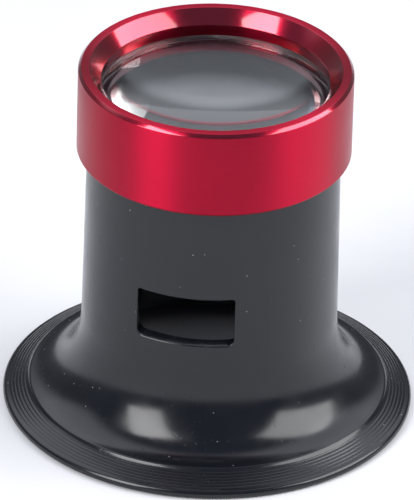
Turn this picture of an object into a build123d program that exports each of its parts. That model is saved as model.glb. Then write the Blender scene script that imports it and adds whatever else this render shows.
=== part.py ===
from build123d import *
from math import radians, tan
import os

# Eye loupe: a thick magnifying lens on a flared eyecup, held by a screwed metal ring.
# Millimetres. +Z is up along the optical axis, and Z = 0 is the plane that the eyecup's rim stands on.
# The window through the barrel's wall faces -Y.
#
# From the bottom: the eyecup flares out to the rim, the tube rises from it, and a threaded neck stands on the
# tube. The lens lies on the neck's end, and the ring's lip holds it down when the ring is screwed home.

# --- Overall sizes ---
overall_height = 38.2
eyecup_radius = 21.0

# --- Lens ---
lens_radius = 12.0
lens_edge = 4.4              # height of the lens's plain edge
lens_front_dome = 1.8        # rise of the upper curved face above the edge
lens_front_rim = 0.45        # width of the flat rim round the upper curved face
lens_rear_dome = 1.25
lens_rear_rim = 0.9
lens_chamfer = 0.1

# --- Gaps ---
lens_side_gap = 0.1          # between the lens and the ring's pocket
thread_entry_gap = 0.06      # how much wider the ring's thread is than the pocket, so that the lens passes it
seat_gap = 0.02              # between faces that press together when the ring is home
shoulder_gap = 0.1           # under the ring when it is home
thread_gap = 0.08            # radial, between the neck's thread and the ring's

# --- Thread between the neck and the ring ---
thread_pitch = 0.75
thread_depth = 0.4
thread_flank = 30.0          # degrees from square across the axis
thread_start_angle = 45.0    # degrees about +Z from +X, where both thread cutters start
groove_overcut = 0.1         # how far a thread cutter stands past the thread's crest
relief_margin = 0.08         # how much taller than a cutter the groove is where its thread runs out
relief_extra = 0.05          # how much deeper than the thread that groove is
relief_above_neck = 0.6      # how far the ring's groove reaches past the neck's end
lead_in_turns = 2            # turns of the ring's cutter below the start of the neck's
least_thread_cut = 5.0       # cubic millimetres; a thread cut that takes less has failed

# --- Ring ---
ring_wall = 1.39             # outside the root of its thread
lip_overlap = 0.4            # how far the lip covers the lens's rim
lip_land_height = 1.2        # plain wall above the lens
bevel_height = 1.4
bevel_width = 1.2
ring_top_chamfer = 0.32
ring_foot_chamfer = 0.25
ring_entry_chamfer = 0.3

# --- Tube and neck ---
tube_wall = 1.5
shoulder_width = 0.4         # the tube stands out past the neck's thread by this
tube_taper = 0.22            # the tube is this much larger in radius at its lower end
seat_width = 0.8             # how far the neck's end reaches under the lens
neck_height = 2.36           # from the shoulder that the ring stops above to the lens's seat
neck_chamfer = 0.3
neck_bore_depth = 5.2        # the neck's bore, from its end down to the cone
bore_cone_height = 1.2       # from the neck's bore out to the tube's

# --- Eyecup ---
tube_foot_height = 10.0      # where the straight tube turns into the flare
rim_band_width = 2.6
rim_band_rise = 0.85
rim_edge_height = 0.95
rim_edge_round = 0.45
rim_step_height = 0.35
rim_step_width = 0.1
flare_wall = 1.25
foot_land_width = 2.9
foot_chamfer_width = 0.35
foot_chamfer_height = 0.4

# --- Window ---
window_width = 10.0
window_height = 5.3
window_sill = 13.3
window_sill_corner = 0.7
window_head_corner = 0.25

# --- Thread section that follows ---
flank_slope = tan(radians(thread_flank))
root_half_width = thread_pitch / 4 - thread_depth / 2 * flank_slope
mouth_reach = thread_depth / 2 + groove_overcut
mouth_half_width = thread_pitch / 4 + mouth_reach * flank_slope
relief_height = 2 * mouth_half_width + relief_margin

# --- Levels that follow ---
lip_level = overall_height - bevel_height - lip_land_height
lens_top = lip_level - seat_gap
lens_bottom = lens_top - lens_edge
neck_top = lens_bottom - seat_gap
shoulder_level = neck_top - neck_height
ring_bottom = shoulder_level + shoulder_gap
neck_bore_bottom = neck_top - neck_bore_depth
neck_relief_top = shoulder_level + relief_height
ring_relief_top = neck_top + relief_above_neck
ring_relief_bottom = ring_relief_top - relief_height
band_top = rim_edge_height + rim_band_rise
flare_foot = band_top + rim_step_height

# --- Radii that follow ---
lip_radius = lens_radius - lip_overlap
pocket_radius = lens_radius + lens_side_gap
ring_crest_radius = pocket_radius + thread_entry_gap
ring_root_radius = ring_crest_radius + thread_depth
ring_relief_radius = ring_root_radius + relief_extra
ring_radius = ring_root_radius + ring_wall
neck_root_radius = ring_crest_radius - thread_gap
neck_crest_radius = neck_root_radius + thread_depth
neck_relief_radius = neck_root_radius - relief_extra
neck_bore_radius = lens_radius - seat_width
tube_radius = neck_crest_radius + shoulder_width
tube_foot_radius = tube_radius + tube_taper
tube_bore_radius = tube_radius - tube_wall
tube_foot_bore_radius = tube_foot_radius - tube_wall
flare_foot_radius = eyecup_radius - rim_band_width
foot_inner_radius = eyecup_radius - foot_land_width
flare_bore_radius = foot_inner_radius - foot_chamfer_width

# --- Thread cutters ---
neck_cut_start = shoulder_level + relief_height / 2
neck_cut_end = neck_top + thread_pitch
ring_cut_start = neck_cut_start + (0.5 - lead_in_turns) * thread_pitch
ring_cut_end = ring_relief_bottom + relief_height / 2

with BuildPart() as neck_cutter:
    with BuildLine() as neck_path:
        Helix(
            thread_pitch,
            neck_cut_end - neck_cut_start,
            neck_root_radius + thread_depth / 2,
            center=(0, 0, neck_cut_start),
        )
    neck_start = Plane(neck_path.line @ 0, x_dir=(1, 0, 0), z_dir=neck_path.line % 0)
    with BuildSketch(neck_start):
        with BuildLine():
            Polyline(
                (-thread_depth / 2, -root_half_width),
                (-thread_depth / 2, root_half_width),
                (mouth_reach, mouth_half_width),
                (mouth_reach, -mouth_half_width),
                close=True,
            )
        make_face()
    sweep(path=neck_path.line, is_frenet=True)

with BuildPart() as ring_cutter:
    with BuildLine() as ring_path:
        Helix(
            thread_pitch,
            ring_cut_end - ring_cut_start,
            ring_crest_radius + thread_depth / 2,
            center=(0, 0, ring_cut_start),
        )
    ring_start = Plane(ring_path.line @ 0, x_dir=(1, 0, 0), z_dir=ring_path.line % 0)
    with BuildSketch(ring_start):
        with BuildLine():
            Polyline(
                (thread_depth / 2, -root_half_width),
                (thread_depth / 2, root_half_width),
                (-mouth_reach, mouth_half_width),
                (-mouth_reach, -mouth_half_width),
                close=True,
            )
        make_face()
    sweep(path=ring_path.line, is_frenet=True)

# --- Eyecup barrel: eyecup, tube and threaded neck in one moulding ---
with BuildPart() as eyecup_barrel:
    with BuildSketch(Plane.XZ):
        with BuildLine():
            Line((foot_inner_radius, 0), (eyecup_radius - rim_edge_round, 0))
            ThreePointArc(
                (eyecup_radius - rim_edge_round, 0),
                (eyecup_radius, rim_edge_height / 2),
                (eyecup_radius - rim_edge_round, rim_edge_height),
            )
            Polyline(
                (eyecup_radius - rim_edge_round, rim_edge_height),
                (flare_foot_radius + rim_step_width, band_top),
                (flare_foot_radius, flare_foot),
            )
            EllipticalCenterArc(
                (flare_foot_radius, tube_foot_height),
                flare_foot_radius - tube_foot_radius,
                tube_foot_height - flare_foot,
                start_angle=180,
                arc_size=90,
            )
            Polyline(
                (tube_foot_radius, tube_foot_height),
                (tube_radius, shoulder_level),
                (neck_relief_radius, shoulder_level),
                (neck_relief_radius, neck_relief_top),
                (neck_crest_radius, neck_relief_top),
                (neck_crest_radius, neck_top - neck_chamfer),
                (neck_crest_radius - neck_chamfer, neck_top),
                (neck_bore_radius, neck_top),
                (neck_bore_radius, neck_bore_bottom),
                (tube_bore_radius, neck_bore_bottom - bore_cone_height),
                (tube_foot_bore_radius, tube_foot_height),
            )
            EllipticalCenterArc(
                (flare_bore_radius, tube_foot_height),
                flare_bore_radius - tube_foot_bore_radius,
                tube_foot_height - flare_foot + flare_wall,
                start_angle=180,
                arc_size=90,
            )
            Polyline(
                (flare_bore_radius, flare_foot - flare_wall),
                (flare_bore_radius, foot_chamfer_height),
                (foot_inner_radius, 0),
            )
        make_face()
    revolve(axis=Axis.Z)
    barrel_uncut = eyecup_barrel.part.volume
    add(neck_cutter.part, rotation=(0, 0, thread_start_angle), mode=Mode.SUBTRACT)
    barrel_thread_cut = barrel_uncut - eyecup_barrel.part.volume
    with BuildSketch(Plane.XZ.offset(tube_foot_radius)) as window:
        with Locations((0, window_sill + window_height / 2)):
            Rectangle(window_width, window_height)
        fillet(window.vertices().group_by(Axis.Y)[0], window_sill_corner)
        fillet(window.vertices().group_by(Axis.Y)[-1], window_head_corner)
    extrude(amount=-tube_foot_radius, mode=Mode.SUBTRACT)

# --- Screw ring: the bevel and lip at the top, then the lens pocket, and the thread down to its foot ---
with BuildPart() as screw_ring:
    with BuildSketch(Plane.XZ):
        with BuildLine():
            Polyline(
                (lip_radius, lip_level),
                (lip_radius, lip_level + lip_land_height),
                (lip_radius + bevel_width, overall_height),
                (ring_radius - ring_top_chamfer, overall_height),
                (ring_radius, overall_height - ring_top_chamfer),
                (ring_radius, ring_bottom + ring_foot_chamfer),
                (ring_radius - ring_foot_chamfer, ring_bottom),
                (ring_crest_radius + ring_entry_chamfer, ring_bottom),
                (ring_crest_radius, ring_bottom + ring_entry_chamfer),
                (ring_crest_radius, ring_relief_bottom),
                (ring_relief_radius, ring_relief_bottom),
                (ring_relief_radius, ring_relief_top),
                (pocket_radius, ring_relief_top),
                (pocket_radius, lip_level),
                close=True,
            )
        make_face()
    revolve(axis=Axis.Z)
    ring_uncut = screw_ring.part.volume
    add(ring_cutter.part, rotation=(0, 0, thread_start_angle), mode=Mode.SUBTRACT)
    ring_thread_cut = ring_uncut - screw_ring.part.volume

# --- Lens: both faces curved, each with a flat rim that the lip and the neck bear on ---
with BuildPart() as magnifying_lens:
    with BuildSketch(Plane.XZ):
        with BuildLine():
            TangentArc(
                (0, lens_top + lens_front_dome),
                (lens_radius - lens_front_rim, lens_top),
                tangent=(1, 0),
            )
            Polyline(
                (lens_radius - lens_front_rim, lens_top),
                (lens_radius - lens_chamfer, lens_top),
                (lens_radius, lens_top - lens_chamfer),
                (lens_radius, lens_bottom + lens_chamfer),
                (lens_radius - lens_chamfer, lens_bottom),
                (lens_radius - lens_rear_rim, lens_bottom),
            )
            TangentArc(
                (0, lens_bottom - lens_rear_dome),
                (lens_radius - lens_rear_rim, lens_bottom),
                tangent=(1, 0),
            )
            Line((0, lens_bottom - lens_rear_dome), (0, lens_top + lens_front_dome))
        make_face()
    revolve(axis=Axis.Z)

# --- Stop if a thread did not come out, which depends on where the cutters start ---
if min(barrel_thread_cut, ring_thread_cut) < least_thread_cut:
    raise ValueError("a thread was not cut: try another thread_start_angle")

# --- Write the pieces ---
os.makedirs("parts", exist_ok=True)

eyecup_barrel.part.label = "eyecup_barrel"
export_step(eyecup_barrel.part, "parts/eyecup_barrel.step")

screw_ring.part.label = "screw_ring"
export_step(screw_ring.part, "parts/screw_ring.step")

magnifying_lens.part.label = "magnifying_lens"
export_step(magnifying_lens.part, "parts/magnifying_lens.step")
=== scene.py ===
"""Eye loupe: its moulded barrel, anodised ring and thick lens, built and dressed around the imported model."""

import logging
import math
from collections.abc import Callable, Sequence
from dataclasses import dataclass, field
from enum import Enum

import bmesh
import bpy
from mathutils import Matrix, Vector


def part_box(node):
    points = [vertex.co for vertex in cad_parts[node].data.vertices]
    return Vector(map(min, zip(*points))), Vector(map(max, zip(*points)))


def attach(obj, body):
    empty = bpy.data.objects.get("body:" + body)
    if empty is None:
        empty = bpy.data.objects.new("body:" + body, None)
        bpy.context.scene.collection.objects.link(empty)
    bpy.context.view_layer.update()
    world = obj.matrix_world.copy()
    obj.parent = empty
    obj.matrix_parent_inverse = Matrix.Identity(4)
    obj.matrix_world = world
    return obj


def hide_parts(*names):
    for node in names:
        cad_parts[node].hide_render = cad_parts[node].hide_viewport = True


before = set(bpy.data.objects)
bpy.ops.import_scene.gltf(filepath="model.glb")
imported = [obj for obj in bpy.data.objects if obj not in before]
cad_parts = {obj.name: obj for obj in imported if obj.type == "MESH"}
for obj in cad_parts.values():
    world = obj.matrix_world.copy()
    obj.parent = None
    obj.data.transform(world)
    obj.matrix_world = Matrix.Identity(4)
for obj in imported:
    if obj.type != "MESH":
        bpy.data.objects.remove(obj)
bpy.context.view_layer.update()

log = logging.getLogger("eye_loupe")

MM = 0.001  # metres in a millimetre; every size in this script is in millimetres
FULL_TURN = 2 * math.pi
ROWS_PER_PITCH = 20  # rows of points in each turn of a thread
COLOUR_A, COLOUR_B, COLOUR_OUT = 6, 7, 2  # a Mix node's sockets by number, because their names repeat
VECTOR_A, VECTOR_B, VECTOR_OUT = 4, 5, 1

Point = tuple[float, float]  # a radius and a height, or an x and a z
Span = tuple[float, float]  # where a range starts and where it ends
Ring = list[bmesh.types.BMVert]
Tree = bpy.types.NodeTree
Socket = bpy.types.NodeSocket


class Slot(Enum):
    """The record's material slots."""

    BARREL = "barrel_plastic"
    RING = "ring_aluminium"
    LENS = "lens_glass"


class Thread(Enum):
    """Which side of its wall a thread is cut in."""

    OUTSIDE = 1
    INSIDE = -1


class Skin(Enum):
    """The material number of each of the barrel's two moulded surfaces."""

    GLOSS = 0
    MATTE = 1


# ---------------------------------------------------------------------------------------------- helpers


def linear(hex_colour: str) -> tuple[float, float, float, float]:
    """Turn an sRGB hex colour into the linear values that a shader takes.

    Args:
        hex_colour: six hex digits with a leading hash.

    Returns:
        Linear red, green and blue, and an alpha of 1.
    """
    channels = [int(hex_colour[i : i + 2], 16) / 255 for i in (1, 3, 5)]
    bent = [c / 12.92 if c <= 0.04045 else ((c + 0.055) / 1.055) ** 2.4 for c in channels]
    return (*bent, 1.0)


def add_node(
    tree: Tree,
    kind: str,
    settings: dict[str, object] | None = None,
    inputs: dict[str | int, object] | None = None,
) -> bpy.types.Node:
    """Add one node to a tree.

    Args:
        tree: the tree that gets the node.
        kind: the node's type, without the "ShaderNode" in front.
        settings: the node's own properties.
        inputs: values or links for its input sockets, by name or by number.

    Returns:
        The new node.
    """
    node = tree.nodes.new("ShaderNode" + kind)
    for name, value in (settings or {}).items():
        setattr(node, name, value)
    for name, value in (inputs or {}).items():
        if isinstance(value, Socket):
            tree.links.new(value, node.inputs[name])
        else:
            node.inputs[name].default_value = value
    return node


def per_mm(spacing: float) -> float:
    """The scale of a pattern, in repeats per metre, that has one repeat in so many millimetres."""
    return 1 / (spacing * MM)


def direction(bearing: float, elevation: float) -> Vector:
    """The way from the loupe to a place around it.

    Args:
        bearing: degrees from -Y towards +X.
        elevation: degrees above the table.

    Returns:
        A unit vector.
    """
    turn = math.radians(bearing)
    rise = math.radians(elevation)
    flat = math.cos(rise)
    return Vector((flat * math.sin(turn), -flat * math.cos(turn), math.sin(rise)))


def hand_over(piece: bpy.types.Object, body: str, node: str) -> None:
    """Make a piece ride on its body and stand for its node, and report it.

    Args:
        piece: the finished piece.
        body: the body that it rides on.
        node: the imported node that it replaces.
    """
    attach(piece, body)
    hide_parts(node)
    log.info("%s: %d faces on body %s", piece.name, len(piece.data.polygons), body)


# --------------------------------------------------------------------------------------------- outlines


@dataclass(frozen=True)
class Corner:
    """One corner of a turned outline, in millimetres from the axis and above the foot."""

    radius: float
    height: float
    round: float = 0.0


def round_off(corners: Sequence[Corner], steps: int = 5) -> list[Point]:
    """Round an open outline's corners with arcs; its two ends stay as they are.

    Args:
        corners: the outline's corners in order.
        steps: straight pieces in each arc.

    Returns:
        The outline's points, in the same order.
    """
    points: list[Point] = []
    for i, corner in enumerate(corners):
        here = Vector((corner.radius, corner.height))
        if corner.round <= 0 or i in (0, len(corners) - 1):
            points.append((here.x, here.y))
            continue
        before = corners[i - 1]
        after = corners[i + 1]
        to_before = (Vector((before.radius, before.height)) - here).normalized()
        to_after = (Vector((after.radius, after.height)) - here).normalized()
        half = to_before.angle(to_after) / 2
        centre = here + (to_before + to_after).normalized() * corner.round / math.sin(half)
        first = here + to_before * corner.round / math.tan(half) - centre
        last = here + to_after * corner.round / math.tan(half) - centre
        sweep = first.angle_signed(last)
        for k in range(steps + 1):
            arm = first.copy()
            arm.rotate(Matrix.Rotation(-sweep * k / steps, 2))
            points.append((centre.x + arm.x, centre.y + arm.y))
    return points


def quarter_ellipse(centre: Point, across: float, down: float, steps: int) -> list[Point]:
    """The flare's curve: from level with the centre, on its inner side, round to straight below it.

    Args:
        centre: the ellipse's centre.
        across: its half width.
        down: its half height.
        steps: straight pieces in the curve.

    Returns:
        The curve's points from the upper end to the lower.
    """
    turns = [math.pi / 2 * k / steps for k in range(steps + 1)]
    return [(centre[0] - across * math.cos(t), centre[1] - down * math.sin(t)) for t in turns]


def dome(apex: Point, edge: Point, steps: int) -> list[Point]:
    """A lens's curved face as a spherical arc from its middle to its edge.

    Args:
        apex: the face's middle, on the axis.
        edge: where the face meets its flat rim.
        steps: straight pieces in the arc.

    Returns:
        The arc's points from the middle to the edge.
    """
    rise = apex[1] - edge[1]
    sphere = (edge[0] ** 2 + rise**2) / (2 * abs(rise))
    side = math.copysign(1.0, rise)
    spread = math.asin(edge[0] / sphere)
    angles = [spread * k / steps for k in range(steps + 1)]
    return [(sphere * math.sin(a), apex[1] - side * sphere * (1 - math.cos(a))) for a in angles]


@dataclass(frozen=True)
class ScrewThread:
    """A right-handed V thread with flat crests, the same helix on the neck and in the ring."""

    pitch: float
    depth: float
    crest_radius: float
    start_height: float  # of a groove's middle, at the start angle
    side: Thread
    start_angle: float = math.radians(45)
    flank_slope: float = math.tan(math.radians(30))

    def radius(self, turn: float, height: float) -> float:
        """The surface's radius at a place on the thread.

        Args:
            turn: the angle about the axis, in radians.
            height: the height above the foot.

        Returns:
            The radius there.
        """
        along = (height - self.start_height) / self.pitch - (turn - self.start_angle) / FULL_TURN
        from_groove = abs(along - round(along)) * self.pitch
        root_half_width = self.pitch / 4 - self.depth / 2 * self.flank_slope
        above_root = (from_groove - root_half_width) / self.flank_slope
        cut = self.depth - min(max(above_root, 0.0), self.depth)
        return self.crest_radius - self.side.value * cut


@dataclass
class Turned:
    """A body of revolution about the optical axis, made as a grid of rings of points."""

    segments: int = 288
    sharp_above: float = 40.0  # degrees between faces; gentler corners are shaded smooth

    def angle(self, column: int) -> float:
        """The angle about the axis of one column of points; column 0 faces the window, at -Y."""
        return -math.pi / 2 + FULL_TURN * column / self.segments

    def add_ring(self, bm: bmesh.types.BMesh, point: Point, thread: ScrewThread | None = None) -> Ring:
        """Add one ring of points, or a single point on the axis.

        Args:
            bm: the mesh being built.
            point: the ring's radius and height.
            thread: a thread that cuts into the ring, if any.

        Returns:
            The ring's vertices.
        """
        if point[0] <= 0:
            return [bm.verts.new((0, 0, point[1] * MM))]
        ring = []
        for column in range(self.segments):
            angle = self.angle(column)
            radius = point[0]
            if thread is not None:
                cut_to = thread.radius(angle, point[1])
                radius = min(radius, cut_to) if thread.side is Thread.OUTSIDE else max(radius, cut_to)
            place = (radius * math.cos(angle) * MM, radius * math.sin(angle) * MM, point[1] * MM)
            ring.append(bm.verts.new(place))
        return ring

    def join_rings(
        self,
        bm: bmesh.types.BMesh,
        lower: Ring,
        upper: Ring,
        skip: Callable[[int], bool] | None = None,
        material: int = 0,
    ) -> None:
        """Span two neighbouring rings with faces.

        Args:
            bm: the mesh being built.
            lower: the first ring, or a single point on the axis.
            upper: the next ring along the outline, or a single point.
            skip: says which columns stay open.
            material: the faces' material number.
        """
        for column in range(self.segments):
            if skip is not None and skip(column):
                continue
            after = (column + 1) % self.segments
            if len(lower) == 1:
                corners = (lower[0], upper[after], upper[column])
            elif len(upper) == 1:
                corners = (lower[column], lower[after], upper[0])
            else:
                corners = (lower[column], lower[after], upper[after], upper[column])
            face = bm.faces.new(corners)
            face.material_index = material

    def finish(self, bm: bmesh.types.BMesh, name: str) -> bpy.types.Object:
        """Turn the built mesh into a smooth object in the scene.

        Args:
            bm: the finished mesh, which is freed.
            name: the new object's name.

        Returns:
            The object.
        """
        bmesh.ops.recalc_face_normals(bm, faces=bm.faces)
        for face in bm.faces:
            face.smooth = True
        mesh = bpy.data.meshes.new(name)
        bm.to_mesh(mesh)
        bm.free()
        mesh.set_sharp_from_angle(angle=math.radians(self.sharp_above))
        piece = bpy.data.objects.new(name, mesh)
        bpy.context.scene.collection.objects.link(piece)
        return piece


# --------------------------------------------------------------------------------------------- finishes


@dataclass(frozen=True)
class Finish:
    """What every finish has: a name, and a shader tree with one principled surface."""

    name: str

    def start(self) -> tuple[bpy.types.Material, Tree, Socket]:
        """Make the material with an empty tree.

        Returns:
            The material, its tree and the place on the object.
        """
        material = bpy.data.materials.new(self.name)
        material.use_nodes = True
        tree = material.node_tree
        tree.nodes.clear()
        return material, tree, add_node(tree, "TexCoord").outputs["Object"]

    def surface(self, tree: Tree, inputs: dict[str, object]) -> None:
        """Add the principled surface and show it.

        Args:
            tree: the material's tree.
            inputs: values or links for the surface's sockets.
        """
        shader = add_node(tree, "BsdfPrincipled", inputs=inputs)
        add_node(tree, "OutputMaterial", inputs={"Surface": shader.outputs["BSDF"]})


@dataclass(frozen=True)
class Patches:
    """Where marks are kept to: cloudy patches of a surface."""

    size: float
    level: Span  # of the clouds: where a patch starts, and where it is full
    cover: float = 1.0
    detail: float = 2.0

    def keep(self, tree: Tree, place: Socket, marks: Socket) -> Socket:
        """Fade marks out between the patches.

        Args:
            tree: the material's tree.
            place: the place on the object.
            marks: how strongly each place is marked, from 0 to 1.

        Returns:
            The marks that are left.
        """
        inputs = {"Vector": place, "Scale": per_mm(self.size), "Detail": self.detail}
        clouds = add_node(tree, "TexNoise", inputs=inputs)
        share = add_node(
            tree,
            "MapRange",
            inputs={
                "Value": clouds.outputs["Fac"],
                "From Min": self.level[0],
                "From Max": self.level[1],
                "To Max": self.cover,
            },
        )
        kept = add_node(tree, "Math", {"operation": "MULTIPLY"}, {0: marks, 1: share.outputs["Result"]})
        return kept.outputs["Value"]


@dataclass(frozen=True)
class Grain:
    """A fine, even roughness of a surface."""

    size: float
    strength: float
    depth: float = 0.01

    def normal(self, tree: Tree, place: Socket) -> Socket:
        """Roughen a surface.

        Args:
            tree: the material's tree.
            place: the place on the object.

        Returns:
            The roughened surface's normal.
        """
        inputs = {"Vector": place, "Scale": per_mm(self.size), "Detail": 2.0}
        grain = add_node(tree, "TexNoise", inputs=inputs)
        bump = add_node(
            tree,
            "Bump",
            inputs={
                "Height": grain.outputs["Fac"],
                "Strength": self.strength,
                "Distance": self.depth * MM,
            },
        )
        return bump.outputs["Normal"]


@dataclass(frozen=True)
class MouldedGlossPlastic(Finish):
    """Black ABS from a polished steel mould.

    To the eye it is near black with sharp, slightly wavy reflections, fine handling scratches that only show
    beside a highlight, and a little pale dust.
    """

    name: str = "moulded_gloss_black_abs"
    colour: str = "#0E1015"
    dust_colour: str = "#8E8F92"
    ior: float = 1.54
    shine: float = 0.42  # the specular level; handling has dulled it a little below a fresh surface
    roughness: Span = (0.15, 0.24)
    roughness_level: Span = (0.3, 0.7)  # of the flow marks, over which the roughness rises
    flow_size: float = 3.2  # sink and flow marks of the moulding
    flow_depth: float = 0.02
    peel_size: float = 0.45  # polished steel's fine unevenness
    peel_depth: float = 0.003
    scratch_spacing: float = 0.3  # coarser than real hairlines, so that they show
    scratch_level: Span = (0.67, 0.72)  # of the noise: where a hairline starts, and where it is full
    scratch_lie: tuple[float, float, float] = (0.6, 0.35, 0.8)  # turns about X, Y and Z, in radians
    scratch_slimness: float = 0.03  # a hairline's width as a share of its length
    scratch_depth: float = 0.006
    scratch_dulling: float = 0.2
    scratched_patches: Patches = Patches(size=4.0, level=(0.5, 0.62))
    dust_spacing: float = 1.3
    speck_edge: Span = (0.035, 0.06)  # in spacings: where a speck is full, and where it has faded out
    dust_dulling: float = 0.5
    dusty_patches: Patches = Patches(size=2.4, level=(0.4, 0.5), cover=0.8, detail=1.0)

    def scratches(self, tree: Tree, place: Socket) -> Socket:
        """The handling scratches.

        Args:
            tree: the material's tree.
            place: the place on the object.

        Returns:
            A socket that nears 1 in a scratch and is 0 elsewhere.
        """
        drawn_out = add_node(
            tree,
            "Mapping",
            inputs={
                "Vector": place,
                "Rotation": self.scratch_lie,
                "Scale": (1.0, 1.0, self.scratch_slimness),
            },
        )
        inputs = {
            "Vector": drawn_out.outputs["Vector"],
            "Scale": per_mm(self.scratch_spacing),
            "Detail": 1.0,
        }
        hairlines = add_node(tree, "TexNoise", inputs=inputs)
        scratch = add_node(
            tree,
            "MapRange",
            inputs={
                "Value": hairlines.outputs["Fac"],
                "From Min": self.scratch_level[0],
                "From Max": self.scratch_level[1],
            },
        )
        return self.scratched_patches.keep(tree, place, scratch.outputs["Result"])

    def dust(self, tree: Tree, place: Socket) -> Socket:
        """The pale dust specks.

        Args:
            tree: the material's tree.
            place: the place on the object.

        Returns:
            A socket that nears 1 on a speck and is 0 elsewhere.
        """
        cells = add_node(tree, "TexVoronoi", inputs={"Vector": place, "Scale": per_mm(self.dust_spacing)})
        speck = add_node(
            tree,
            "MapRange",
            inputs={
                "Value": cells.outputs["Distance"],
                "From Min": self.speck_edge[0],
                "From Max": self.speck_edge[1],
                "To Min": 1.0,
                "To Max": 0.0,
            },
        )
        return self.dusty_patches.keep(tree, place, speck.outputs["Result"])

    def dulled(self, tree: Tree, flow: Socket, marks: Sequence[tuple[Socket, float]]) -> Socket:
        """The surface's roughness, which changes with the flow marks and is dulled by other marks.

        Args:
            tree: the material's tree.
            flow: the moulding's flow marks.
            marks: other marks, each with how much it dulls the surface.

        Returns:
            The roughness.
        """
        plain = add_node(
            tree,
            "MapRange",
            inputs={
                "Value": flow,
                "From Min": self.roughness_level[0],
                "From Max": self.roughness_level[1],
                "To Min": self.roughness[0],
                "To Max": self.roughness[1],
            },
        )
        so_far = plain.outputs["Result"]
        for mark, dulling in marks:
            settings = {"operation": "MULTIPLY_ADD", "use_clamp": True}
            so_far = add_node(tree, "Math", settings, {0: mark, 1: dulling, 2: so_far}).outputs["Value"]
        return so_far

    def normal(self, tree: Tree, place: Socket, flow: Socket, scratched: Socket) -> Socket:
        """The surface's waviness and fine unevenness, with the scratches cut into it.

        Args:
            tree: the material's tree.
            place: the place on the object.
            flow: the moulding's flow marks.
            scratched: where the scratches are.

        Returns:
            The surface's normal.
        """
        inputs = {"Vector": place, "Scale": per_mm(self.peel_size), "Detail": 3.0}
        peel = add_node(tree, "TexNoise", inputs=inputs)
        wavy = add_node(
            tree,
            "Bump",
            inputs={"Height": flow, "Strength": 0.25, "Distance": self.flow_depth * MM},
        )
        peeled = add_node(
            tree,
            "Bump",
            inputs={
                "Height": peel.outputs["Fac"],
                "Strength": 0.2,
                "Distance": self.peel_depth * MM,
                "Normal": wavy.outputs["Normal"],
            },
        )
        cut = add_node(
            tree,
            "Bump",
            {"invert": True},
            {
                "Height": scratched,
                "Strength": 0.6,
                "Distance": self.scratch_depth * MM,
                "Normal": peeled.outputs["Normal"],
            },
        )
        return cut.outputs["Normal"]

    def build(self) -> bpy.types.Material:
        """Make the material.

        Returns:
            The material.
        """
        material, tree, place = self.start()
        inputs = {"Vector": place, "Scale": per_mm(self.flow_size), "Detail": 2.0}
        flow = add_node(tree, "TexNoise", inputs=inputs).outputs["Fac"]
        scratched = self.scratches(tree, place)
        dusty = self.dust(tree, place)
        colour = add_node(
            tree,
            "Mix",
            {"data_type": "RGBA"},
            {"Factor": dusty, COLOUR_A: linear(self.colour), COLOUR_B: linear(self.dust_colour)},
        )
        marks = [(scratched, self.scratch_dulling), (dusty, self.dust_dulling)]
        self.surface(
            tree,
            {
                "Base Color": colour.outputs[COLOUR_OUT],
                "Roughness": self.dulled(tree, flow, marks),
                "Normal": self.normal(tree, place, flow, scratched),
                "IOR": self.ior,
                "Specular IOR Level": self.shine,
            },
        )
        return material


@dataclass(frozen=True)
class SparkErodedPlastic(Finish):
    """Black ABS from a mould core left as it was spark-eroded.

    To the eye it is a soft dark grey with an even, very fine grain and no clear reflections.
    """

    name: str = "spark_eroded_black_abs"
    colour: str = "#2E3037"
    ior: float = 1.54
    roughness: float = 0.45
    grain: Grain = Grain(size=0.2, strength=0.12)  # coarser than the real grain, so that it shows

    def build(self) -> bpy.types.Material:
        """Make the material.

        Returns:
            The material.
        """
        material, tree, place = self.start()
        self.surface(
            tree,
            {
                "Base Color": linear(self.colour),
                "Roughness": self.roughness,
                "IOR": self.ior,
                "Normal": self.grain.normal(tree, place),
            },
        )
        return material


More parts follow.
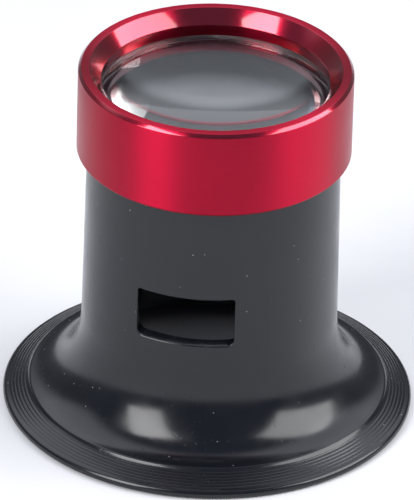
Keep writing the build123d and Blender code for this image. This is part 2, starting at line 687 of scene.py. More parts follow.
@dataclass(frozen=True)
class AnodisedAluminium(Finish):
    """Aluminium turned on a lathe and anodised crimson.

    To the eye it is a deep, saturated metal whose highlights are satin and drawn out across the fine circular
    lines that the lathe's tool leaves under the dye.
    """

    name: str = "turned_crimson_anodised_aluminium"
    colour: str = "#AE092E"
    worn_colour: str = "#C62648"
    roughness: Span = (0.36, 0.42)
    roughness_level: Span = (0.35, 0.65)  # of the clouds, over which the roughness rises
    cloud_size: float = 7.0
    stretch: float = 0.9  # how much farther highlights spread across the lines than along them
    stretch_turn: float = 0.25  # in full turns: a quarter turn lays the stretch across the lines
    oxide: float = 0.15  # weight of the clear sealed oxide over the dye
    oxide_ior: float = 1.6
    oxide_roughness: float = 0.12
    tool_line: float = 0.16  # coarser than a real tool's feed, so that the lines show
    line_slimness: float = 0.02  # a line's width as a share of its length round the ring
    line_depth: float = 0.004
    worn_level: Span = (0.58, 0.8)  # of the lines: where the dye starts to thin, and where it is thinnest
    worn_share: float = 0.25

    def tool_lines(self, tree: Tree, place: Socket) -> Socket:
        """The fine circular lines of the lathe's tool.

        Args:
            tree: the material's tree.
            place: the place on the object.

        Returns:
            The height of the surface, from 0 to 1.
        """
        parts = add_node(tree, "SeparateXYZ", inputs={"Vector": place})
        inputs = {"X": parts.outputs["X"], "Y": parts.outputs["Y"], "Z": 0.0}
        flat = add_node(tree, "CombineXYZ", inputs=inputs).outputs["Vector"]
        radius = add_node(tree, "VectorMath", {"operation": "LENGTH"}, {0: flat})
        inputs = {0: radius.outputs["Value"], 1: parts.outputs["Z"]}
        across_lines = add_node(tree, "Math", {"operation": "ADD"}, inputs)
        inputs = {0: flat, "Scale": self.line_slimness}
        around = add_node(tree, "VectorMath", {"operation": "SCALE"}, inputs)
        around_parts = add_node(tree, "SeparateXYZ", inputs={"Vector": around.outputs["Vector"]})
        line_place = add_node(
            tree,
            "CombineXYZ",
            inputs={
                "X": across_lines.outputs["Value"],
                "Y": around_parts.outputs["X"],
                "Z": around_parts.outputs["Y"],
            },
        )
        inputs = {"Vector": line_place.outputs["Vector"], "Scale": per_mm(self.tool_line), "Detail": 3.0}
        return add_node(tree, "TexNoise", inputs=inputs).outputs["Fac"]

    def build(self) -> bpy.types.Material:
        """Make the material.

        Returns:
            The material.
        """
        material, tree, place = self.start()
        lines = self.tool_lines(tree, place)
        inputs = {"Vector": place, "Scale": per_mm(self.cloud_size), "Detail": 3.0}
        clouds = add_node(tree, "TexNoise", inputs=inputs)
        rough = add_node(
            tree,
            "MapRange",
            inputs={
                "Value": clouds.outputs["Fac"],
                "From Min": self.roughness_level[0],
                "From Max": self.roughness_level[1],
                "To Min": self.roughness[0],
                "To Max": self.roughness[1],
            },
        )
        worn = add_node(
            tree,
            "MapRange",
            inputs={
                "Value": lines,
                "From Min": self.worn_level[0],
                "From Max": self.worn_level[1],
                "To Max": self.worn_share,
            },
        )
        colour = add_node(
            tree,
            "Mix",
            {"data_type": "RGBA"},
            {
                "Factor": worn.outputs["Result"],
                COLOUR_A: linear(self.colour),
                COLOUR_B: linear(self.worn_colour),
            },
        )
        inputs = {"Height": lines, "Strength": 0.3, "Distance": self.line_depth * MM}
        turned = add_node(tree, "Bump", inputs=inputs)
        around_axis = add_node(tree, "Tangent", {"direction_type": "RADIAL", "axis": "Z"})
        self.surface(
            tree,
            {
                "Base Color": colour.outputs[COLOUR_OUT],
                "Metallic": 1.0,
                "Roughness": rough.outputs["Result"],
                "Normal": turned.outputs["Normal"],
                "Tangent": around_axis.outputs["Tangent"],
                "Anisotropic": self.stretch,
                "Anisotropic Rotation": self.stretch_turn,
                "Coat Weight": self.oxide,
                "Coat IOR": self.oxide_ior,
                "Coat Roughness": self.oxide_roughness,
            },
        )
        return material


@dataclass(frozen=True)
class BrightCutAluminium(AnodisedAluminium):
    """The same anodised aluminium where a last fine cut has left it brighter.

    To the eye it is a glossier crimson, whose highlights are smaller and clearer under a full coat of oxide.
    """

    name: str = "bright_cut_crimson_anodised_aluminium"
    roughness: Span = (0.2, 0.26)
    stretch: float = 0.75
    oxide: float = 1.0
    oxide_roughness: float = 0.08


@dataclass(frozen=True)
class PolishedGlass(Finish):
    """Crown glass with polished, uncoated faces.

    To the eye it is clear and colourless, with hard mirror reflections from both faces and a few specks.
    """

    name: str = "polished_crown_glass"
    tint: str = "#FBFDFD"
    ior: float = 1.52
    speck_spacing: float = 2.2
    speck_edge: Span = (0.02, 0.035)  # in spacings: where a speck is full, and where it has faded out
    speck_roughness: float = 0.3

    def build(self) -> bpy.types.Material:
        """Make the material.

        Returns:
            The material.
        """
        material, tree, place = self.start()
        inputs = {"Vector": place, "Scale": per_mm(self.speck_spacing)}
        specks = add_node(tree, "TexVoronoi", inputs=inputs)
        rough = add_node(
            tree,
            "MapRange",
            inputs={
                "Value": specks.outputs["Distance"],
                "From Min": self.speck_edge[0],
                "From Max": self.speck_edge[1],
                "To Min": self.speck_roughness,
                "To Max": 0.0,
            },
        )
        self.surface(
            tree,
            {
                "Base Color": linear(self.tint),
                "Roughness": rough.outputs["Result"],
                "Transmission Weight": 1.0,
                "IOR": self.ior,
            },
        )
        return material


@dataclass(frozen=True)
class GroundGlass(Finish):
    """The lens's edge, fine-ground with abrasive grit.

    To the eye it is a soft grey frost that spreads what light reaches it.
    """

    name: str = "fine_ground_glass"
    tint: str = "#E8ECEC"
    ior: float = 1.52
    roughness: float = 0.35
    grit: Grain = Grain(size=0.12, strength=0.4)  # coarser than the real grit, so that it shows

    def build(self) -> bpy.types.Material:
        """Make the material.

        Returns:
            The material.
        """
        material, tree, place = self.start()
        self.surface(
            tree,
            {
                "Base Color": linear(self.tint),
                "Roughness": self.roughness,
                "Transmission Weight": 1.0,
                "IOR": self.ior,
                "Normal": self.grit.normal(tree, place),
            },
        )
        return material


@dataclass(frozen=True)
class MattePaper(Finish):
    """Uncoated studio paper.

    To the eye it is pale and plain, without any gloss.
    """

    name: str = "uncoated_studio_paper"
    colour: str = "#DBDBDC"
    fibre_colour: str = "#D7D7D9"
    fibre_size: float = 6.0  # coarser than real fibre clumps, and faint, so that the table stays plain
    roughness: float = 0.9
    shine: float = 0.2  # the specular level

    def build(self) -> bpy.types.Material:
        """Make the material.

        Returns:
            The material.
        """
        material, tree, place = self.start()
        inputs = {"Vector": place, "Scale": per_mm(self.fibre_size), "Detail": 2.0}
        fibre = add_node(tree, "TexNoise", inputs=inputs)
        colour = add_node(
            tree,
            "Mix",
            {"data_type": "RGBA"},
            {
                "Factor": fibre.outputs["Fac"],
                COLOUR_A: linear(self.colour),
                COLOUR_B: linear(self.fibre_colour),
            },
        )
        self.surface(
            tree,
            {
                "Base Color": colour.outputs[COLOUR_OUT],
                "Roughness": self.roughness,
                "Specular IOR Level": self.shine,
            },
        )
        return material


@dataclass(frozen=True)
class LightTent:
    """Diffusion fabric overhead and behind, lit from outside, in a dim room.

    To the eye it is a broad, soft brightness high behind the loupe that fades to a dim, cool room everywhere
    else, so that glass and gloss show clear tones without hard edges.
    """

    name: str = "light_tent"
    fabric_colour: str = "#F0F5FF"
    fabric_glow: float = 1.75
    room_colour: str = "#717789"
    low_glow: float = 0.2  # behind the loupe, near the table
    low_top: float = 25.0  # degrees of elevation where the fabric starts to brighten
    full_from: float = 39.0  # and where it is fully lit
    overhead_share: float = 0.25  # how much the fabric reaches over towards the front
    side_edge: Span = (0.12, 0.5)  # how far round to the back the fabric starts, and where it is full

    def build(self, straight_behind: Vector) -> bpy.types.World:
        """Make the world around the table.

        Args:
            straight_behind: the level direction from the loupe away from the camera.

        Returns:
            The world.
        """
        world = bpy.data.worlds.new(self.name)
        world.use_nodes = True
        tree = world.node_tree
        tree.nodes.clear()
        way = add_node(tree, "TexCoord").outputs["Generated"]
        parts = add_node(tree, "SeparateXYZ", inputs={"Vector": way})
        glow = add_node(
            tree,
            "MapRange",
            {"interpolation_type": "SMOOTHSTEP"},
            {
                "Value": parts.outputs["Z"],
                "From Min": math.sin(math.radians(self.low_top)),
                "From Max": math.sin(math.radians(self.full_from)),
                "To Min": self.low_glow,
                "To Max": self.fabric_glow,
            },
        )
        inputs = {0: way, 1: (straight_behind.x, straight_behind.y, self.overhead_share)}
        reach = add_node(tree, "VectorMath", {"operation": "DOT_PRODUCT"}, inputs)
        behind = add_node(
            tree,
            "MapRange",
            {"interpolation_type": "SMOOTHSTEP"},
            {
                "Value": reach.outputs["Value"],
                "From Min": self.side_edge[0],
                "From Max": self.side_edge[1],
            },
        )
        inputs = {0: linear(self.fabric_colour)[:3], "Scale": glow.outputs["Result"]}
        fabric = add_node(tree, "VectorMath", {"operation": "SCALE"}, inputs)
        around = add_node(
            tree,
            "Mix",
            {"data_type": "VECTOR"},
            {
                "Factor": behind.outputs["Result"],
                VECTOR_A: linear(self.room_colour)[:3],
                VECTOR_B: fabric.outputs["Vector"],
            },
        )
        shine = add_node(tree, "Background", inputs={"Color": around.outputs[VECTOR_OUT]})
        add_node(tree, "OutputWorld", inputs={"Surface": shine.outputs["Background"]})
        return world


# ----------------------------------------------------------------------------------------------- barrel


@dataclass(frozen=True)
class Window:
    """The vent window through the tube's wall: parallel sides, and corners rounder below than above."""

    width: float = 10.0
    height: float = 5.3
    sill: float = 13.3
    sill_corner: float = 0.7
    head_corner: float = 0.25

    def side_point(self, length: float, first: float, last: float, share: float) -> Point:
        """A point along one side, from the middle of one rounded corner to the middle of the next.

        Args:
            length: the side's full length.
            first: the rounding at its start.
            last: the rounding at its end.
            share: how far along, from 0 to 1.

        Returns:
            The distance along the side from its middle, and the distance into the window.
        """
        eighth = math.pi / 4
        straight = length - first - last
        run = share * (eighth * (first + last) + straight)
        if run < eighth * first:
            turn = eighth - run / first
            return -length / 2 + first * (1 - math.sin(turn)), first * (1 - math.cos(turn))
        if run <= eighth * first + straight:
            return -length / 2 + first + run - eighth * first, 0.0
        turn = (run - eighth * first - straight) / last
        return length / 2 - last * (1 - math.sin(turn)), last * (1 - math.cos(turn))

    def outline(self, counts: tuple[int, int], grown: float) -> list[Point]:
        """The window's outline as points in x and z, anticlockwise from its lower left corner.

        Args:
            counts: how many points the level sides and the upright sides take.
            grown: how far outside the true outline it runs.

        Returns:
            The outline's points.
        """
        width = self.width + 2 * grown
        height = self.height + 2 * grown
        low = self.sill_corner + grown
        high = self.head_corner + grown
        middle = self.sill + self.height / 2
        level, upright = counts
        points = []
        for k in range(level):
            along, into = self.side_point(width, low, low, k / level)
            points.append((along, middle - height / 2 + into))
        for k in range(upright):
            along, into = self.side_point(height, low, high, k / upright)
            points.append((width / 2 - into, middle + along))
        for k in range(level):
            along, into = self.side_point(width, high, high, k / level)
            points.append((-along, middle + height / 2 - into))
        for k in range(upright):
            along, into = self.side_point(height, high, low, k / upright)
            points.append((-width / 2 + into, middle - along))
        return points


@dataclass(frozen=True)
class Row:
    """One ring of points in the barrel's outline, and what spans it to the next."""

    ring: Ring
    windowed: bool = False  # whether the window's patch interrupts it
    skin: Skin = Skin.GLOSS


@dataclass
class EyecupBarrel:
    """The eyecup, the tube with its window, and the threaded neck, in one black moulding."""

    rim_radius: float
    neck_top: float
    rim_edge_round: float = 0.45
    rim_edge_height: float = 0.95
    rim_edge_steps: int = 14
    band_width: float = 2.6
    band_top: float = 1.8
    turning_lines: int = 6  # fine rings left on the rim band by the mould's turned face
    turning_depth: float = 0.044  # of the innermost; the outermost are half as deep
    turning_slimness: int = 4  # an even power; above 2, each groove is slimmer than the ridge beside it
    turning_steps: int = 12  # straight pieces across each line
    step_width: float = 0.13
    step_height: float = 0.35
    step_lean: float = 0.12  # how far the step's upper edge stands in from the flare's foot
    step_round: float = 0.3
    flare_top: float = 10.0
    flare_steps: int = 44
    tube_foot_radius: float = 13.1
    tube_radius: float = 12.88
    wall: float = 1.5
    flare_wall: float = 1.25
    neck_height: float = 2.36
    shoulder_round: float = 0.12
    relief_height: float = 0.8
    relief_radius: float = 12.03
    relief_round: float = 0.1
    thread_depth: float = 0.4
    thread_pitch: float = 0.75
    crest_radius: float = 12.48
    neck_chamfer: float = 0.3
    neck_chamfer_rows: int = 6  # enough for the thread to run out through it
    neck_end_round: float = 0.08
    bore_radius: float = 11.2
    bore_depth: float = 5.2
    bore_cone: float = 1.2
    bore_round: float = 0.3
    gloss_bore_rows: int = 3  # at the neck's end, which the mould's polished half makes
    gloss_foot_rows: int = 8  # and at the foot
    flare_end_round: float = 0.12
    foot_land: float = 2.9
    foot_chamfer: Point = (0.35, 0.4)
    foot_draft: float = 0.03  # how much the opening widens from the flare's end down to the chamfer
    foot_chamfer_round: float = 0.15
    foot_round: float = 0.12
    window: Window = field(default_factory=Window)
    window_edge: float = 0.16
    window_edge_steps: int = 5
    patch_columns: int = 23  # columns of the grid on each side of the window's middle that its patch takes in
    patch_reach: Span = (11.2, 20.7)
    patch_rows: int = 26
    patch_loops: int = 9  # from the grid's edge in to the window's
    patch_crowding: float = 1.3  # above 1, the loops stand closer together at the window
    lathe: Turned = field(default_factory=Turned)

    @property
    def shoulder(self) -> float:
        """The level of the shoulder under the ring."""
        return self.neck_top - self.neck_height

    @property
    def relief_top(self) -> float:
        """The level where the neck's relief groove ends and its thread starts."""
        return self.shoulder + self.relief_height

    @property
    def step_foot(self) -> float:
        """The level of the flare's foot, at the top of the rim's step."""
        return self.band_top + self.step_height

    def tube_outside(self, height: float) -> float:
        """The straight tube's outer radius at a height."""
        share = (height - self.flare_top) / (self.shoulder - self.flare_top)
        return self.tube_foot_radius + (self.tube_radius - self.tube_foot_radius) * share

    def tube_inside(self, height: float) -> float:
        """The straight tube's inner radius.

        Args:
            height: the level above the foot.

        Returns:
            The radius at that level.
        """
        top = self.neck_top - self.bore_depth - self.bore_cone
        share = (height - self.flare_top) / (top - self.flare_top)
        foot = self.tube_foot_radius - self.wall
        return foot + (self.tube_radius - self.wall - foot) * share

    def patch_heights(self) -> list[float]:
        """The levels of the rows that the window's patch meets, from the lowest up."""
        low, high = self.patch_reach
        return [low + (high - low) * k / self.patch_rows for k in range(self.patch_rows + 1)]

    def rim(self) -> list[Point]:
        """The rim's rounded edge.

        Returns:
            The outline's points, from the foot's flat land to the rim band.
        """
        points = []
        for k in range(self.rim_edge_steps):
            turn = -math.pi / 2 + math.pi * k / self.rim_edge_steps
            out = self.rim_radius - self.rim_edge_round * (1 - math.cos(turn))
            points.append((out, self.rim_edge_height / 2 * (1 + math.sin(turn))))
        return points

    def band(self) -> list[Point]:
        """The sloping rim band with its fine rings.

        Returns:
            The outline's points, from the band's outer edge up to the step.
        """
        start = (self.rim_radius - self.rim_edge_round, self.rim_edge_height)
        end = (self.rim_radius - self.band_width + self.step_width, self.band_top)
        steps = self.turning_lines * self.turning_steps
        points = []
        for k in range(steps + 1):
            share = k / steps
            depth = self.turning_depth * (1 + share) / 2
            wave = math.sin(share * self.turning_lines * math.pi)
            radius = start[0] + (end[0] - start[0]) * share
            height = start[1] + (end[1] - start[1]) * share
            points.append((radius, height - wave**self.turning_slimness * depth))
        return points

    def outside(self) -> list[Point]:
        """The outer outline from the foot up to the window's patch.

        Returns:
            The outline's points.
        """
        flare_radius = self.rim_radius - self.band_width
        across = flare_radius - self.tube_foot_radius
        down = self.flare_top - self.step_foot
        curve = quarter_ellipse((flare_radius, self.flare_top), across, down, self.flare_steps)
        flare = curve[:-2]  # the rounded step takes the place of the last two points
        step = round_off(
            [
                Corner(flare_radius + self.step_width, self.band_top),
                Corner(flare_radius - self.step_lean, self.step_foot, self.step_round),
                Corner(*flare[-1]),
            ]
        )
        return self.rim() + self.band() + step[1:-1] + flare[::-1]

    def neck(self) -> list[Point]:
        """The outer outline from the shoulder over the neck's end, with rows fine enough for its thread.

        Returns:
            The outline's points.
        """
        foot = round_off(
            [
                Corner(self.tube_radius, self.flare_top),
                Corner(self.tube_radius, self.shoulder, self.shoulder_round),
                Corner(self.relief_radius, self.shoulder, self.relief_round),
                Corner(self.relief_radius, self.relief_top),
            ]
        )
        span = self.neck_top - self.neck_chamfer - self.relief_top
        rows = math.ceil(span / self.thread_pitch * ROWS_PER_PITCH)
        thread = [(self.crest_radius, self.relief_top + span * k / rows) for k in range(rows + 1)]
        chamfer = []
        for k in range(1, self.neck_chamfer_rows + 1):
            share = k / self.neck_chamfer_rows
            level = self.neck_top - self.neck_chamfer * (1 - share)
            chamfer.append((self.crest_radius - self.neck_chamfer * share, level))
        return foot[1:] + thread + chamfer

    def inside(self) -> list[Point]:
        """The bore's outline from the neck's end down to the window's patch.

        Returns:
            The outline's points.
        """
        bore_bottom = self.neck_top - self.bore_depth
        cone_bottom = bore_bottom - self.bore_cone
        patch_top = self.patch_reach[1]
        return round_off(
            [
                Corner(self.crest_radius - self.neck_chamfer, self.neck_top),
                Corner(self.bore_radius, self.neck_top, self.neck_end_round),
                Corner(self.bore_radius, bore_bottom, self.bore_round),
                Corner(self.tube_inside(cone_bottom), cone_bottom, self.bore_round),
                Corner(self.tube_inside(patch_top), patch_top),
            ]
        )[1:-1]

    def skirt(self) -> list[Point]:
        """The eyecup's inner outline from the tube down to the foot.

        Returns:
            The outline's points.
        """
        foot_radius = self.rim_radius - self.foot_land
        bore = foot_radius - self.foot_chamfer[0]
        end_level = self.step_foot - self.flare_wall
        across = bore - (self.tube_foot_radius - self.wall)
        down = self.flare_top - end_level
        curve = quarter_ellipse((bore, self.flare_top), across, down, self.flare_steps)[:-1]
        foot = round_off(
            [
                Corner(*curve[-1]),
                Corner(bore, end_level, self.flare_end_round),
                Corner(bore + self.foot_draft, self.foot_chamfer[1], self.foot_chamfer_round),
                Corner(foot_radius, 0.0, self.foot_round),
                Corner(self.rim_radius - self.rim_edge_round, 0.0),
            ]
        )
        return curve + foot[1:-1]

    def in_patch(self, column: int) -> bool:
        """Whether a column of the grid stays open for the window's patch."""
        centred = column if column < self.lathe.segments / 2 else column - self.lathe.segments
        return -self.patch_columns <= centred < self.patch_columns

    def patch_edge(self, rows: list[Ring]) -> Ring:
        """The grid's vertices round the window's patch, anticlockwise from its lower left corner.

        Args:
            rows: the rings of points between the patch's lower and upper levels, from the lowest up.

        Returns:
            The vertices in order.
        """
        reach = self.patch_columns
        bottom = [rows[0][column] for column in range(-reach, reach)]
        right = [row[reach] for row in rows[:-1]]
        top = [rows[-1][column] for column in range(reach, -reach, -1)]
        left = [row[-reach] for row in rows[:0:-1]]
        return bottom + right + top + left

    def window_outline(self, grown: float) -> list[Point]:
        """The window's outline, grown so far, with as many points as the grid has round the patch."""
        return self.window.outline((2 * self.patch_columns, self.patch_rows), grown)

    def add_loop(
        self,
        bm: bmesh.types.BMesh,
        points: list[Point],
        surface: Callable[[float], float],
        sink: float = 0.0,
    ) -> Ring:
        """Add a loop of points round the window, on one face of the tube's wall.

        Args:
            bm: the mesh being built.
            points: the loop in x and z.
            surface: the face's radius at a height.
            sink: how far the loop lies from the face, towards the axis.

        Returns:
            The loop's vertices.
        """
        loop = []
        for x, z in points:
            y = -math.sqrt(surface(z) ** 2 - x**2) + sink
            loop.append(bm.verts.new((x * MM, y * MM, z * MM)))
        return loop

    def face_loops(
        self, bm: bmesh.types.BMesh, edge: Ring, surface: Callable[[float], float], inward: float
    ) -> list[Ring]:
        """Add the loops from the grid's edge in to the window, and then over the window's rounded edge.

        Args:
            bm: the mesh being built.
            edge: the vertices round the gap in this face of the wall.
            surface: the face's radius at a height.
            inward: 1 where the edge rounds towards the axis, and -1 where it rounds away from it.

        Returns:
            The loops, with the grid's own edge first.
        """
        far = [(vertex.co.x / MM, vertex.co.z / MM) for vertex in edge]
        near = self.window_outline(self.window_edge)
        loops = [edge]
        for k in range(1, self.patch_loops):
            share = 1 - (1 - k / self.patch_loops) ** self.patch_crowding
            mixed = [(a[0] + (b[0] - a[0]) * share, a[1] + (b[1] - a[1]) * share) for a, b in zip(far, near)]
            loops.append(self.add_loop(bm, mixed, surface))
        for k in range(self.window_edge_steps + 1):
            turn = math.pi / 2 * k / self.window_edge_steps
            points = self.window_outline(self.window_edge * (1 - math.sin(turn)))
            sink = inward * self.window_edge * (1 - math.cos(turn))
            loops.append(self.add_loop(bm, points, surface, sink))
        return loops

    def add_window(self, bm: bmesh.types.BMesh, outer: Ring, inner: Ring) -> None:
        """Close the gap that the grid leaves for the window, on both faces of the wall and through it.

        Args:
            bm: the mesh being built.
            outer: the vertices round the gap in the outer face.
            inner: the vertices round the gap in the inner face.
        """
        outer_loops = self.face_loops(bm, outer, self.tube_outside, 1.0)
        inner_loops = self.face_loops(bm, inner, self.tube_inside, -1.0)
        chain = outer_loops + inner_loops[::-1]
        for first, second in zip(chain, chain[1:]):
            count = len(first)
            for k in range(count):
                after = (k + 1) % count
                bm.faces.new((first[k], first[after], second[after], second[k]))

    def add_rows(self, bm: bmesh.types.BMesh) -> list[Row]:
        """Add every ring of points, from the foot's outer edge over the neck and back down inside.

        Args:
            bm: the mesh being built.

        Returns:
            The rows in order.
        """
        lathe = self.lathe
        thread = ScrewThread(
            self.thread_pitch,
            self.thread_depth,
            self.crest_radius,
            self.shoulder + self.relief_height / 2,
            Thread.OUTSIDE,
        )
        heights = self.patch_heights()
        rows = [Row(lathe.add_ring(bm, point)) for point in self.outside()]
        rows += [Row(lathe.add_ring(bm, (self.tube_outside(z), z)), windowed=True) for z in heights]
        for point in self.neck():
            threaded = point[1] >= self.relief_top and point[0] > self.relief_radius
            rows.append(Row(lathe.add_ring(bm, point, thread if threaded else None)))
        for k, point in enumerate(self.inside()):
            skin = Skin.GLOSS if k < self.gloss_bore_rows else Skin.MATTE
            rows.append(Row(lathe.add_ring(bm, point), skin=skin))
        for z in heights[::-1]:
            rows.append(Row(lathe.add_ring(bm, (self.tube_inside(z), z)), windowed=True, skin=Skin.MATTE))
        skirt = self.skirt()
        for k, point in enumerate(skirt):
            skin = Skin.MATTE if k < len(skirt) - self.gloss_foot_rows else Skin.GLOSS
            rows.append(Row(lathe.add_ring(bm, point), skin=skin))
        return rows

    def dress(self, barrel: bpy.types.Object) -> None:
        """Give the barrel its two moulded surfaces, in the order of their material numbers."""
        barrel.data.materials.append(MouldedGlossPlastic().build())
        barrel.data.materials.append(SparkErodedPlastic().build())

    def build(self) -> bpy.types.Object:
        """Build the barrel and dress it.

        Returns:
            The barrel.
        """
        bm = bmesh.new()
        rows = self.add_rows(bm)
        for lower, upper in zip(rows, rows[1:] + rows[:1]):
            skip = self.in_patch if lower.windowed and upper.windowed else None
            self.lathe.join_rings(bm, lower.ring, upper.ring, skip, lower.skin.value)
        windowed = [row.ring for row in rows if row.windowed]
        outer = windowed[: self.patch_rows + 1]
        inner = windowed[: self.patch_rows : -1]
        self.add_window(bm, self.patch_edge(outer), self.patch_edge(inner))
        loose = [vertex for vertex in bm.verts if not vertex.link_faces]
        bmesh.ops.delete(bm, geom=loose, context="VERTS")
        barrel = self.lathe.finish(bm, "barrel")
        self.dress(barrel)
        return barrel


# ------------------------------------------------------------------------------------------------- ring


@dataclass
class ScrewRing:
    """The anodised ring: bevelled mouth, lip over the lens, lens pocket and thread."""

    radius: float
    bottom: float
    top: float
    neck_top: float
    lens_radius: float
    bevel_width: float = 1.2
    bevel_height: float = 1.4
    bevel_round: float = 0.09
    land_height: float = 1.2
    lip_overlap: float = 0.4
    lip_round: float = 0.08
    pocket_gap: float = 0.1
    pocket_round: float = 0.05
    shoulder_gap: float = 0.1  # between the barrel's shoulder and the ring
    crest_radius: float = 12.16
    thread_depth: float = 0.4
    thread_pitch: float = 0.75
    relief_extra: float = 0.05
    relief_height: float = 0.8
    relief_above_neck: float = 0.6
    top_chamfer: float = 0.32
    top_round: float = 0.1
    side_round: float = 0.12  # where the outside meets its two chamfers
    foot_chamfer: float = 0.25
    foot_round: float = 0.1
    entry_chamfer: float = 0.3
    entry_rows: int = 8  # enough for the thread to start in the entry chamfer
    corner_steps: int = 6
    lathe: Turned = field(default_factory=Turned)

    @property
    def lip_radius(self) -> float:
        """The radius of the clear opening."""
        return self.lens_radius - self.lip_overlap

    @property
    def lip_level(self) -> float:
        """The level of the lip's underside, over the lens."""
        return self.top - self.bevel_height - self.land_height

    @property
    def thread_top(self) -> float:
        """The level where the thread ends in its relief groove."""
        return self.neck_top + self.relief_above_neck - self.relief_height

    def plain_outline(self) -> list[Point]:
        """The outline from the relief groove over the lip and down the outside to the ring's foot.

        Returns:
            The outline's points.
        """
        pocket_radius = self.lens_radius + self.pocket_gap
        relief_radius = self.crest_radius + self.thread_depth + self.relief_extra
        relief_top = self.thread_top + self.relief_height
        corners = [
            Corner(relief_radius, self.thread_top),
            Corner(relief_radius, relief_top),
            Corner(pocket_radius, relief_top, self.pocket_round),
            Corner(pocket_radius, self.lip_level, self.pocket_round),
            Corner(self.lip_radius, self.lip_level, self.pocket_round),
            Corner(self.lip_radius, self.lip_level + self.land_height, self.lip_round),
            Corner(self.lip_radius + self.bevel_width, self.top, self.bevel_round),
            Corner(self.radius - self.top_chamfer, self.top, self.top_round),
            Corner(self.radius, self.top - self.top_chamfer, self.side_round),
            Corner(self.radius, self.bottom + self.foot_chamfer, self.side_round),
            Corner(self.radius - self.foot_chamfer, self.bottom, self.foot_round),
            Corner(self.crest_radius + self.entry_chamfer, self.bottom),
        ]
        return round_off(corners, self.corner_steps)[:-1]

    def bore(self) -> list[Point]:
        """The entry chamfer and the bore above it, with rows fine enough for the thread.

        Returns:
            The outline's points, from the ring's foot up.
        """
        points = []
        for k in range(self.entry_rows):
            rise = self.entry_chamfer * k / self.entry_rows
            points.append((self.crest_radius + self.entry_chamfer - rise, self.bottom + rise))
        start = self.bottom + self.entry_chamfer
        span = self.thread_top - start
        rows = math.ceil(span / self.thread_pitch * ROWS_PER_PITCH)
        return points + [(self.crest_radius, start + span * k / rows) for k in range(rows + 1)]

    def is_bright_cut(self, point: Point) -> bool:
        """Whether the surface from a point of the outline on has had the last fine cut.

        Args:
            point: the point's radius and height.

        Returns:
            True in the mouth and on the top chamfer.
        """
        radius, height = point
        in_mouth = height >= self.lip_level and radius < self.lip_radius + self.bevel_width
        on_chamfer = height >= self.top - self.top_chamfer and radius >= self.radius - self.top_chamfer
        return in_mouth or on_chamfer

    def dress(self, ring: bpy.types.Object) -> None:
        """Give the ring its turned surface, and its bright-cut one as material 1."""
        ring.data.materials.append(AnodisedAluminium().build())
        ring.data.materials.append(BrightCutAluminium().build())

    def build(self) -> bpy.types.Object:
        """Build the ring and dress it.

        Returns:
            The ring.
        """
        bm = bmesh.new()
        shoulder = self.bottom - self.shoulder_gap
        groove_start = shoulder + self.relief_height / 2 + self.thread_pitch / 2
        thread = ScrewThread(
            self.thread_pitch, self.thread_depth, self.crest_radius, groove_start, Thread.INSIDE
        )
        plain = self.plain_outline()
        bore = self.bore()
        rings = [self.lathe.add_ring(bm, point) for point in plain]
        rings += [self.lathe.add_ring(bm, point, thread) for point in bore]
        for point, lower, upper in zip(plain + bore, rings, rings[1:] + rings[:1]):
            self.lathe.join_rings(bm, lower, upper, material=int(self.is_bright_cut(point)))
        ring = self.lathe.finish(bm, "ring")
        self.dress(ring)
        return ring


# ------------------------------------------------------------------------------------------------- lens


@dataclass
class MagnifyingLens:
    """The thick lens: two curved faces, each with a flat rim, and a ground edge between them."""

    radius: float
    low: float
    high: float
    front_dome: float = 1.8
    front_rim: float = 0.45
    rear_dome: float = 1.25
    rear_rim: float = 0.9
    chamfer: float = 0.1
    face_steps: int = 56
    lathe: Turned = field(default_factory=Turned)

    def dress(self, lens: bpy.types.Object) -> None:
        """Give the lens its polished faces, and its ground edge as material 1."""
        lens.data.materials.append(PolishedGlass().build())
        lens.data.materials.append(GroundGlass().build())

    def build(self) -> bpy.types.Object:
        """Build the lens and dress it.

        Returns:
            The lens.
        """
        bm = bmesh.new()
        top = self.high - self.front_dome
        bottom = self.low + self.rear_dome
        front = dome((0, self.high), (self.radius - self.front_rim, top), self.face_steps)
        rear = dome((0, self.low), (self.radius - self.rear_rim, bottom), self.face_steps)
        edge = [
            (self.radius - self.chamfer, top),
            (self.radius, top - self.chamfer),
            (self.radius, bottom + self.chamfer),
            (self.radius - self.chamfer, bottom),
        ]
        rings = [self.lathe.add_ring(bm, point) for point in front + edge + rear[::-1]]
        ground = range(len(front), len(front) + len(edge) - 1)
        for k, (upper, lower) in enumerate(zip(rings, rings[1:])):
            self.lathe.join_rings(bm, upper, lower, material=int(k in ground))
        lens = self.lathe.finish(bm, "lens")
        self.dress(lens)
        return lens


# ----------------------------------------------------------------------------------------------- studio


@dataclass(frozen=True)
class Softbox:
    """One oblong soft light, aimed at the loupe."""

    name: str
    bearing: float  # degrees from the camera's side, positive towards its right
    elevation: float
    distance: float
    width: float
    height: float
    power: float  # in watts

    def place(self, camera_bearing: float, target: Vector) -> None:
        """Put the light in the scene.

        Args:
            camera_bearing: the camera's own bearing, in degrees from -Y towards +X.
            target: the point that it faces, in metres.
        """
        light = bpy.data.lights.new(self.name, "AREA")
        light.shape = "RECTANGLE"
        light.size = self.width * MM
        light.size_y = self.height * MM
        light.energy = self.power
        towards = direction(camera_bearing + self.bearing, self.elevation)
        lamp = bpy.data.objects.new(self.name, light)
        lamp.location = target + towards * self.distance * MM
        lamp.rotation_mode = "QUATERNION"
        lamp.rotation_quaternion = towards.to_track_quat("Z", "Y")
        bpy.context.scene.collection.objects.link(lamp)


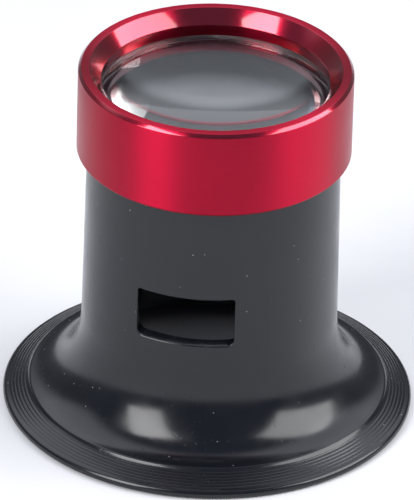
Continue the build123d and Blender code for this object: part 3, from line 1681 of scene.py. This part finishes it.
@dataclass(frozen=True)
class ProductCamera:
    """A long lens above the bench, looking down at the loupe a little to the right of its window."""

    bearing: float = 11.3  # degrees from -Y towards +X
    elevation: float = 30.22
    roll: float = 1.65
    distance: float = 893.0
    across: float = 0.42  # how far left of the loupe's foot its line of sight passes
    above: float = 14.67  # and how far above the foot, square to the line of sight
    focal_length: float = 624.4
    film_side: float = 36.0  # the film's longer side, which stands upright
    far_end: float = 20000.0  # nothing beyond this is seen

    def place(self) -> None:
        """Make the camera and use it."""
        back = direction(self.bearing, self.elevation)
        turn = math.radians(self.bearing)
        right = Vector((math.cos(turn), math.sin(turn), 0))
        up = back.cross(right)
        location = back * self.distance - right * self.across + up * self.above
        roll = Matrix.Rotation(math.radians(self.roll), 3, back)
        axes = Matrix((roll @ right, roll @ up, back)).transposed()
        camera = bpy.data.cameras.new("camera")
        camera.sensor_width = self.film_side
        camera.lens = self.focal_length
        camera.clip_end = self.far_end * MM
        holder = bpy.data.objects.new("camera", camera)
        holder.matrix_world = Matrix.Translation(location * MM) @ axes.to_4x4()
        bpy.context.scene.collection.objects.link(holder)
        bpy.context.scene.camera = holder


@dataclass(frozen=True)
class Studio:
    """The pale table, the light tent around it, the soft lights and the camera."""

    camera: ProductCamera = ProductCamera()
    table_radius: float = 3000.0
    table_segments: int = 96
    table_drop: float = 0.02  # under the foot, so that the two faces don't coincide
    target_height: float = 18.0
    lights: tuple[Softbox, ...] = (
        Softbox("left_softbox", -49.3, 34.0, distance=500.0, width=240.0, height=380.0, power=2.4),
        Softbox("right_softbox", 82.0, 34.0, distance=500.0, width=460.0, height=340.0, power=2.8),
    )

    def add_table(self, paper: bpy.types.Material) -> None:
        """Add the round pale table.

        Args:
            paper: its material.
        """
        bm = bmesh.new()
        radius = self.table_radius * MM
        bmesh.ops.create_circle(bm, cap_ends=True, segments=self.table_segments, radius=radius)
        mesh = bpy.data.meshes.new("table")
        bm.to_mesh(mesh)
        bm.free()
        table = bpy.data.objects.new("table", mesh)
        table.location = (0, 0, -self.table_drop * MM)
        table.data.materials.append(paper)
        bpy.context.scene.collection.objects.link(table)

    def build(self) -> None:
        """Build the whole studio."""
        self.add_table(MattePaper().build())
        behind = direction(self.camera.bearing + 180, 0)
        bpy.context.scene.world = LightTent().build(behind)
        target = Vector((0, 0, self.target_height * MM))
        for light in self.lights:
            light.place(self.camera.bearing, target)
        self.camera.place()
        bpy.context.scene.view_settings.view_transform = "Standard"


# ------------------------------------------------------------------------------------------------- main


def main() -> None:
    """Build the studio and every piece of the loupe."""
    logging.basicConfig(level=logging.INFO, format="%(name)s: %(message)s")
    Studio().build()

    _, barrel_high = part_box("eyecup_barrel")
    barrel = EyecupBarrel(rim_radius=barrel_high[0] / MM, neck_top=barrel_high[2] / MM)
    hand_over(barrel.build(), "barrel", "eyecup_barrel")

    lens_low, lens_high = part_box("magnifying_lens")
    lens = MagnifyingLens(radius=lens_high[0] / MM, low=lens_low[2] / MM, high=lens_high[2] / MM)
    hand_over(lens.build(), "lens", "magnifying_lens")

    ring_low, ring_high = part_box("screw_ring")
    ring = ScrewRing(
        radius=ring_high[0] / MM,
        bottom=ring_low[2] / MM,
        top=ring_high[2] / MM,
        neck_top=barrel_high[2] / MM,
        lens_radius=lens_high[0] / MM,
    )
    hand_over(ring.build(), "ring", "screw_ring")


if __name__ == "__main__":
    main()
